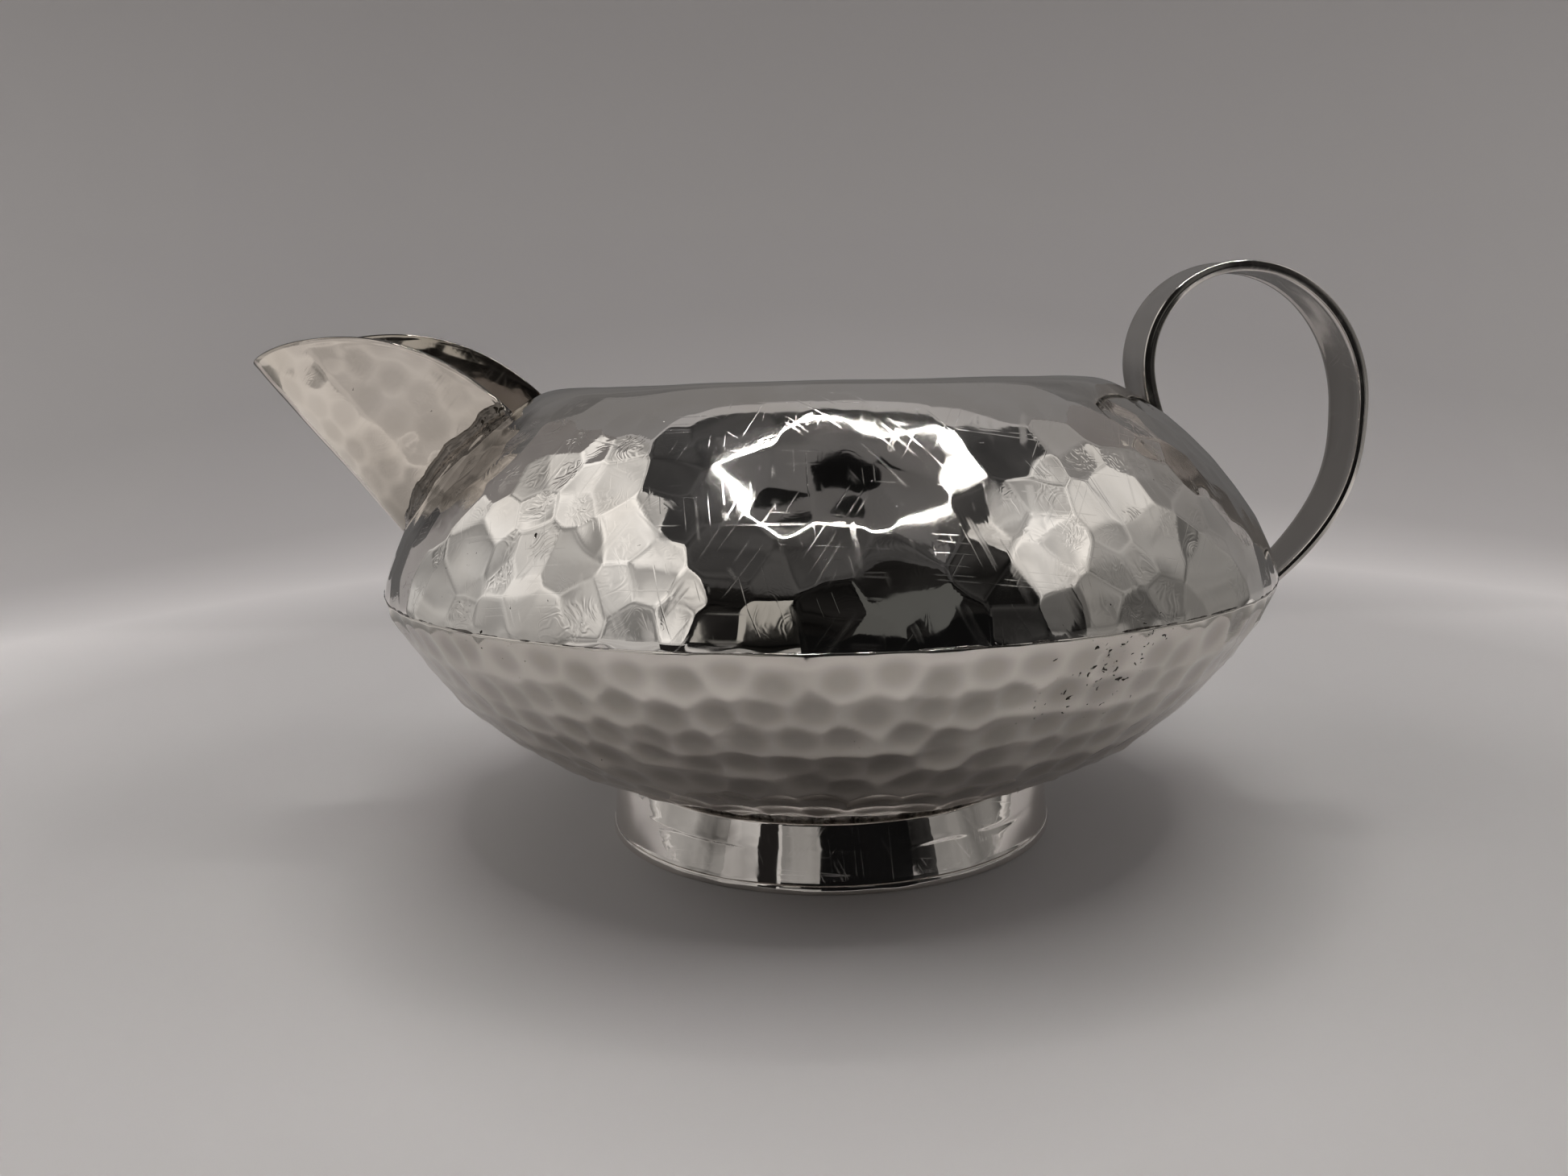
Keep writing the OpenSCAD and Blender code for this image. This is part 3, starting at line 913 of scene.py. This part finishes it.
def glow(name, colour, strength, fade=None, rough=None):
    """A plain lit material. fade: (axis, from, to, low, high) changes it along one direction.
    rough: (scale, depth) mottles it softly, like creased cloth."""
    mat, nt, em = new_material(name, "ShaderNodeEmission")
    em.inputs["Color"].default_value = (*colour, 1)
    em.inputs["Strength"].default_value = strength
    level = strength
    if fade:
        axis, start, end, low, high = fade
        place = add_node(nt, "SeparateXYZ", axis, ((0, object_coords(nt)),))
        level = add_node(nt, "MapRange", 0, (
            ("Value", place), ("From Min", start), ("From Max", end),
            ("To Min", low * strength), ("To Max", high * strength)), interpolation_type="SMOOTHSTEP")
        nt.links.new(level, em.inputs["Strength"])
    if rough:
        scale, depth = rough
        cloth = stretched(nt, object_coords(nt), (0.2, 0.4, 0.3), (1.0, 1.0, 1.5))
        cloth = ramp(nt, noise(nt, cloth, scale, 2.0, 0.5, 0.6), [(0.33, 1 - depth), (0.67, 1 + 0.3 * depth)])
        nt.links.new(times(nt, cloth, level), em.inputs["Strength"])
    return mat


def card(name, corners, colour, strength, faces=None, **look):
    """A glowing flat shape that only the metal sees. Its corners are metres from the jug's axis."""
    verts = [(AX + x, y, z) for x, y, z in corners]
    return stage_mesh(name, verts, faces or [tuple(range(len(verts)))], glow(name, colour, strength, **look))


def flat_card(name, x, y, z, colour, strength, **look):
    (x0, x1), (y0, y1) = x, y
    return card(name, [(x0, y0, z), (x1, y0, z), (x1, y1, z), (x0, y1, z)], colour, strength, **look)


def upright_card(name, start, end, heights, colour, strength, **look):
    """A card that stands on the floor line from start to end."""
    (x0, y0), (x1, y1), (low, high) = start, end, heights
    corners = [(x0, y0, low), (x1, y1, low), (x1, y1, high), (x0, y0, high)]
    return card(name, corners, colour, strength, **look)


def oval_card(name, centre, half, z, sides, strength):
    turn = [TAU * k / sides for k in range(sides)]
    corners = [(centre[0] + half[0] * math.cos(t), centre[1] + half[1] * math.sin(t), z) for t in turn]
    return card(name, corners, (1, 1, 1), strength)


def make_floor():
    """A round floor that rises into a backdrop, with its soft light and shade in the colour."""
    flat_r, bend, wall_top = 0.26, 0.24, 1.0
    bend_turn = np.radians(np.linspace(4, 90, 24))
    line = [(1e-4, 0.0)]
    line += [(r, 0.0) for r in np.linspace(0.02, flat_r, 13)]
    line += [(flat_r + bend * math.sin(a), bend - bend * math.cos(a)) for a in bend_turn]
    line += [(flat_r + bend, z) for z in np.linspace(0.3, wall_top, 6)]
    line = np.array(line)
    cols = 160
    verts = polar(line[:, :1], np.arange(cols)[None, :] * TAU / cols, line[:, 1:]) + (AX, 0, 0)
    mat, nt, b = new_material("floor")
    wider = 1.35                              # the pattern is narrower from left to right
    far = distance(nt, stretched(nt, object_coords(nt), (0, 0, 0), (wider, 1.0, 1.0)), (AX * wider, 0, 0))
    tint = (1.0, 0.968, 0.962)
    greys = ((0.0, 0.36), (0.045, 0.40), (0.075, 0.52), (0.12, 0.49), (0.19, 0.54), (0.27, 0.80),
             (0.36, 0.52), (0.46, 0.43), (0.58, 0.44), (1.0, 0.40))
    colours = ramp(nt, far, [(p, tuple(grey * t for t in tint)) for p, grey in greys])
    nt.links.new(colours, b.inputs["Base Color"])
    b.inputs["Roughness"].default_value = 0.75
    b.inputs["Specular IOR Level"].default_value = 0.15
    faces = grid_faces(len(line), cols, True)
    shade_smooth(stage_mesh("floor", verts.reshape(-1, 3), faces, mat, camera=True, shadow=True))


CEILING = 0.35
FRONT = -0.335
BOX = 0.20               # half the width of the white box round the jug


def make_ceiling():
    """A dim ceiling with a thin lit ring, a dark hole and dark spots inside it."""
    cx, cy, half_x, half_y, corner = 0.022, -0.073, 0.112, 0.104, 0.075
    ring = []
    for k, (sx, sy) in enumerate(((1, 1), (-1, 1), (-1, -1), (1, -1))):
        for a in np.radians(np.linspace(90 * k, 90 * k + 90, 13)):
            ring.append((cx + sx * (half_x - corner) + corner * math.cos(a),
                         cy + sy * (half_y - corner) + corner * math.sin(a)))
    ring = np.array(ring)
    n = len(ring)
    onward = np.roll(ring, -1, 0) - np.roll(ring, 1, 0)
    onward /= np.linalg.norm(onward, axis=1)[:, None]
    aside = 0.0019 * np.stack([onward[:, 1], -onward[:, 0]], 1)
    corners = [(x, y, CEILING - 0.003) for x, y in np.vstack([ring - aside, ring + aside])]
    faces = [(i, (i + 1) % n, n + (i + 1) % n, n + i) for i in range(n)]
    card("lamp_ring", corners, (1.0, 0.985, 0.96), 62.0, faces)
    flat_card("ceiling", (-0.21, 0.21), (-0.34, 0.21), CEILING, (1.0, 0.975, 0.965), 0.06, rough=(18, 0.5))
    flat_card("ceiling_mid", (-0.085, 0.13), (-0.19, 0.03), CEILING - 0.001, (1.0, 0.97, 0.965), 0.115,
              rough=(9, 0.25))
    flat_card("ceiling_back", (-0.21, 0.21), (0.062, 0.21), CEILING - 0.001, (1.0, 0.965, 0.95), 0.38)
    oval_card("ceiling_hole", (0.018, -0.078), (0.042, 0.038), CEILING - 0.002, 24, 0.004)
    spots = ((-0.052, -0.105, 0.017), (0.072, -0.045, 0.014), (-0.035, -0.145, 0.010), (0.03, -0.135, 0.013))
    for k, (x, y, r) in enumerate(spots):
        oval_card("ceiling_spot_%d" % k, (x, y), (1.5 * r, r), CEILING - 0.002, 16, 0.006)


def make_walls():
    cream, pale = (1.0, 0.97, 0.93), (1.0, 0.965, 0.95)
    full, edge = (0.0, CEILING), 0.21
    # the white side walls, brighter towards the lamp
    upright_card("wall_left", (-BOX, -0.33), (-BOX, 0.088), full, cream, 0.86,
                 fade=(2, 0.01, 0.20, 0.45, 1.0), rough=(12, 0.7))
    upright_card("wall_right", (BOX, -0.16), (BOX, 0.040), full, cream, 0.80,
                 fade=(2, 0.05, 0.24, 0.26, 1.0), rough=(12, 0.7))
    upright_card("wall_right_back", (BOX, 0.040), (BOX, 0.12), full, (1.0, 0.965, 0.94), 0.30, rough=(9, 0.4))
    # bright floor far out at both sides, seen only in the metal
    for side, name in ((-1, "floor_far_left"), (1, "floor_far_right")):
        near, far = side * 0.09, side * 0.199
        fade = (0, AX + near, AX + far - side * 0.04, 0.35, 1.0)
        far_floor = flat_card(name, (near, far), (-0.20, 0.08), 0.001, (1.0, 0.965, 0.93), 0.62, fade=fade)
        far_floor.visible_diffuse = False
    # the back, mid grey below and lighter above
    bend_y, bend_z = 0.20, 0.24
    left_bend, right_bend = (-BOX, bend_y, bend_z), (BOX, bend_y, bend_z)
    card("back", [(-BOX, 0.12, 0.02), (BOX, 0.12, 0.02), right_bend, left_bend], pale, 0.155,
         fade=(2, 0.0, bend_z, 0.75, 1.1), rough=(8, 0.25))
    card("back_top", [left_bend, right_bend, (BOX, 0.10, CEILING), (-BOX, 0.10, CEILING)], pale, 0.21)
    # the dark open front, and what stands in it
    upright_card("front", (-edge, FRONT), (edge, FRONT), full, (1.0, 0.95, 0.9), 0.012, rough=(14, 0.9))
    upright_card("front_right", (BOX, FRONT), (BOX, -0.16), full, cream, 0.03, rough=(12, 0.8))
    patch_y, lip_y = FRONT + 0.004, FRONT + 0.03
    upright_card("front_patch_a", (0.05, patch_y), (0.14, patch_y), (0.07, 0.30), (1.0, 1.0, 0.94), 0.085)
    upright_card("front_patch_b", (-0.14, patch_y), (-0.08, patch_y), (0.13, 0.27), (1.0, 0.96, 0.88), 0.38)
    upright_card("front_lip", (-edge, lip_y), (edge, lip_y), (0.0, 0.045), cream, 0.30, rough=(20, 0.3))
    upright_card("reflector", (-0.10, -0.235), (-0.198, -0.15), (0.0, 0.075), (1.0, 0.965, 0.93), 0.54,
                 rough=(10, 0.2))
    # the dark flat things in front of the jug, round the camera
    upright_card("dark_flat", (-0.014, -0.150), (0.115, -0.150), (0.002, 0.070), (1, 1, 1), 0.004)
    upright_card("dark_slim", (-0.097, -0.150), (-0.066, -0.150), (0.0, 0.05), (1, 0.9, 0.85), 0.012)


def area_light(name, size, energy, place, turn=0.0):
    """A soft light that the metal does not mirror. size: one number for a disk, two for a rectangle."""
    data = bpy.data.lights.new(name, "AREA")
    data.shape = "RECTANGLE" if len(size) == 2 else "DISK"
    data.size = size[0]
    if len(size) == 2:
        data.size_y = size[1]
    data.energy = energy
    data.color = (1.0, 0.98, 0.97)
    ob = bpy.data.objects.new(name, data)
    ob.location = place
    ob.rotation_euler = (0, turn, 0)
    ob.visible_glossy = False
    bpy.context.scene.collection.objects.link(ob)


def make_studio():
    scene = bpy.context.scene
    scene.view_settings.view_transform = "Standard"
    scene.world = bpy.data.worlds.new("world")
    scene.world.use_nodes = True
    background = scene.world.node_tree.nodes["Background"]
    background.inputs[0].default_value = (0.20, 0.19, 0.185, 1)
    background.inputs[1].default_value = 1.0
    make_floor()
    make_ceiling()
    make_walls()
    area_light("fill", (1.6,), 5.4, (AX, 0.0, 1.3))
    for side in (-1, 1):
        area_light("side", (0.4, 0.2), 1.2, (AX + side * 0.5, 0.0, 0.25), side * math.radians(62))


def spot(x, y, z):
    """A place on the jug, in mm from its axis, as object coordinates."""
    return (AX + x * MM, y * MM, z * MM)


make_camera()
pit_spot = spot(23.5, -41.5, 27.3)            # the rash of pits right of the middle, at the waist
join_spot = spot(-34.5, -8.5, 49.5)           # the upper end of the spout's join
join_side = spot(-35.5, -21, 44)              # the shoulder beside the spout, painted darker as shade and the spout's dark reflection
waist_left = spot(-30, -39, WAIST_Z)
# the shoulder beside the strap's foot, painted darker as shade
strap_side = spot(35, -4, 49.8)
hammered = silver("hammered_silver", (0.90, 0.874, 0.846), (0.83, 0.787, 0.735), 0.042, 0.1,
                  curl=0.085, scratch=1.6, grain=0.12, dim=0.06,
                  pits=((pit_spot, 0.012, 0.16), (waist_left, 0.016, 0.09), (join_spot, 0.006, 0.2)),
                  dark_patches=((join_side, 0.013, 0.9), (strap_side, 0.006, 0.6)))
# the bowl's silver is darker than the shoulder's: painted shade on the lower, downward-facing half of the
# body
shaded_bowl_silver = silver("shaded_bowl_silver", (0.80, 0.76, 0.715), (0.70, 0.66, 0.61), 0.12, 0.5,
                     curl=0.03, scratch=0.6, grain=0.22, dim=0.36,
                     pits=((pit_spot, 0.012, 0.19), (waist_left, 0.016, 0.08)))
spout_silver = silver("spout_silver", (0.86, 0.79, 0.725), (0.76, 0.69, 0.61), 0.07, 0.9,
                      curl=0.03, scratch=0.3, grain=0.25, dim=0.24, pits=((join_side, 0.012, 0.08),))
# the foot's silver, with two dark grey patches on its front
plain = silver("plain_silver", (0.88, 0.845, 0.81), (0.80, 0.76, 0.72), 0.035, 1.3, scratch=0.4, grain=0.2,
               dark_patches=((spot(-11.5, -23, 2.6), 0.007, 0.35), (spot(-12, -22, 5.8), 0.004, 0.4)))
strap_silver = silver("strap_silver", (0.86, 0.82, 0.785), (0.78, 0.74, 0.70), 0.13, 1.9,
                      scratch=0.4, grain=0.12, dim=0.42)
# the spout fillet's near-black colour is painted shade and dark reflection along the join; the solder fillet
# itself is real
shaded_fillet_silver = silver("shaded_fillet_silver", (0.26, 0.235, 0.21), (0.06, 0.05, 0.045), 0.08, 2.3,
                       scratch=0.3, grain=0.3, pits=((join_spot, 0.006, 0.3),))
solder = solder_material("solder", (0.10, 0.09, 0.08), (0.62, 0.60, 0.57))
# near-black: painted shadow of the gap between bowl and foot
groove_shadow = solder_material("groove_shadow", (0.02, 0.018, 0.016), (0.30, 0.275, 0.25))
seam_mat = solder_material("seam", (0.035, 0.03, 0.027), (0.20, 0.185, 0.17))

make_shoulder(hammered)
make_bowl(shaded_bowl_silver)
make_seam(seam_mat)
make_foot(plain, groove_shadow)
make_spout(spout_silver, shaded_fillet_silver)
make_handle(strap_silver, solder)
make_studio()
